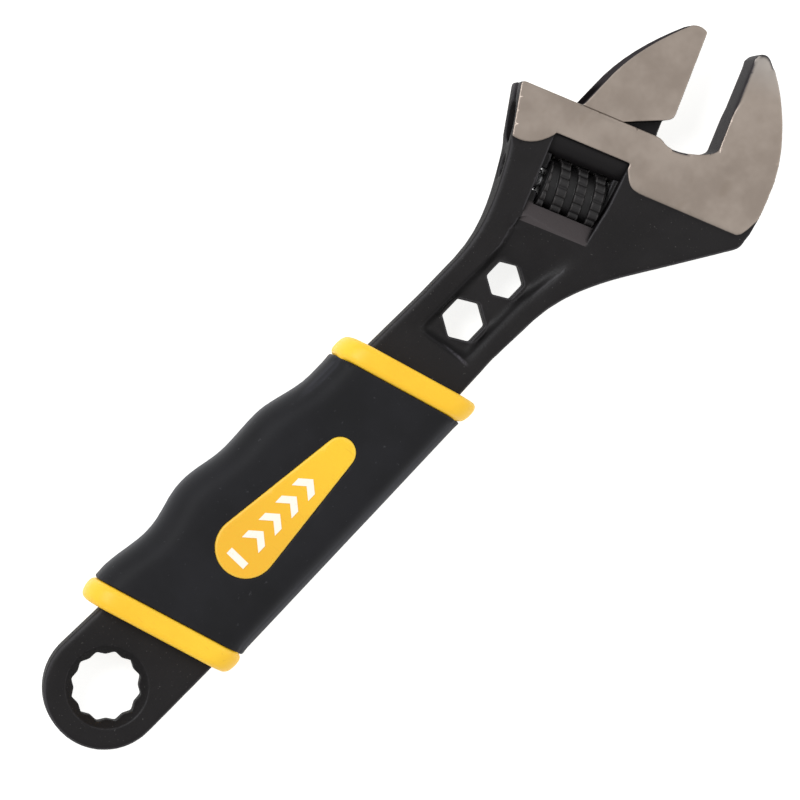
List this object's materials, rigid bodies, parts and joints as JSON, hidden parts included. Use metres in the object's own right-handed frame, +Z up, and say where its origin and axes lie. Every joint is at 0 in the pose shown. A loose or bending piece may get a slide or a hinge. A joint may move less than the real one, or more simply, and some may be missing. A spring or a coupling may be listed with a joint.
{
  "type": "adjustable wrench",
  "caption": "Adjustable wrench with an angled head, a sliding jaw driven by a knurled worm, a box-end ring, hexagon holes in the shank and a two-colour moulded grip.",
  "frame": {"origin": "Below the middle of the whole object's box, on the plane that the grip rests on when the wrench lies flat.", "axes": "+X along the handle from the ring towards the jaws, +Y across the handle towards the movable jaw and the finger side of the grip, +Z up through the thickness."},
  "size_m": [0.206, 0.058, 0.017],
  "materials": {
    "black_oxide": "satin black oxide on forged steel",
    "bright_steel": "ground and lightly polished steel",
    "pin_steel": "plain steel",
    "yellow_plastic": "satin moulded plastic",
    "black_rubber": "soft matt moulded rubber",
    "white_print": "thin raised print"
  },
  "bodies": {
    "frame": {"forged_body": "black_oxide", "worm_pin": "pin_steel", "worm_spring": "pin_steel", "grip_core": "yellow_plastic", "grip_cover": "black_rubber", "badge_mark": "white_print"},
    "worm": {"adjusting_worm": "black_oxide"},
    "jaw": {"movable_jaw": "bright_steel"}
  },
  "joints": [
    {"name": "worm_spin", "type": "hinge", "parent": "frame", "child": "worm", "pos_m": [0.05292, 0.00498, 0.0085], "axis": [0.3746, -0.9272, 0], "range_deg": [-1018, 1171]},
    {"name": "jaw_slide", "type": "slide", "parent": "frame", "child": "jaw", "axis": [-0.3746, 0.9272, 0], "range_m": [-0.0113, 0.013]}
  ],
  "couplings": [
    {"joint": "worm_spin", "follows": "jaw_slide", "rad_per_m": 1570.8}
  ]
}
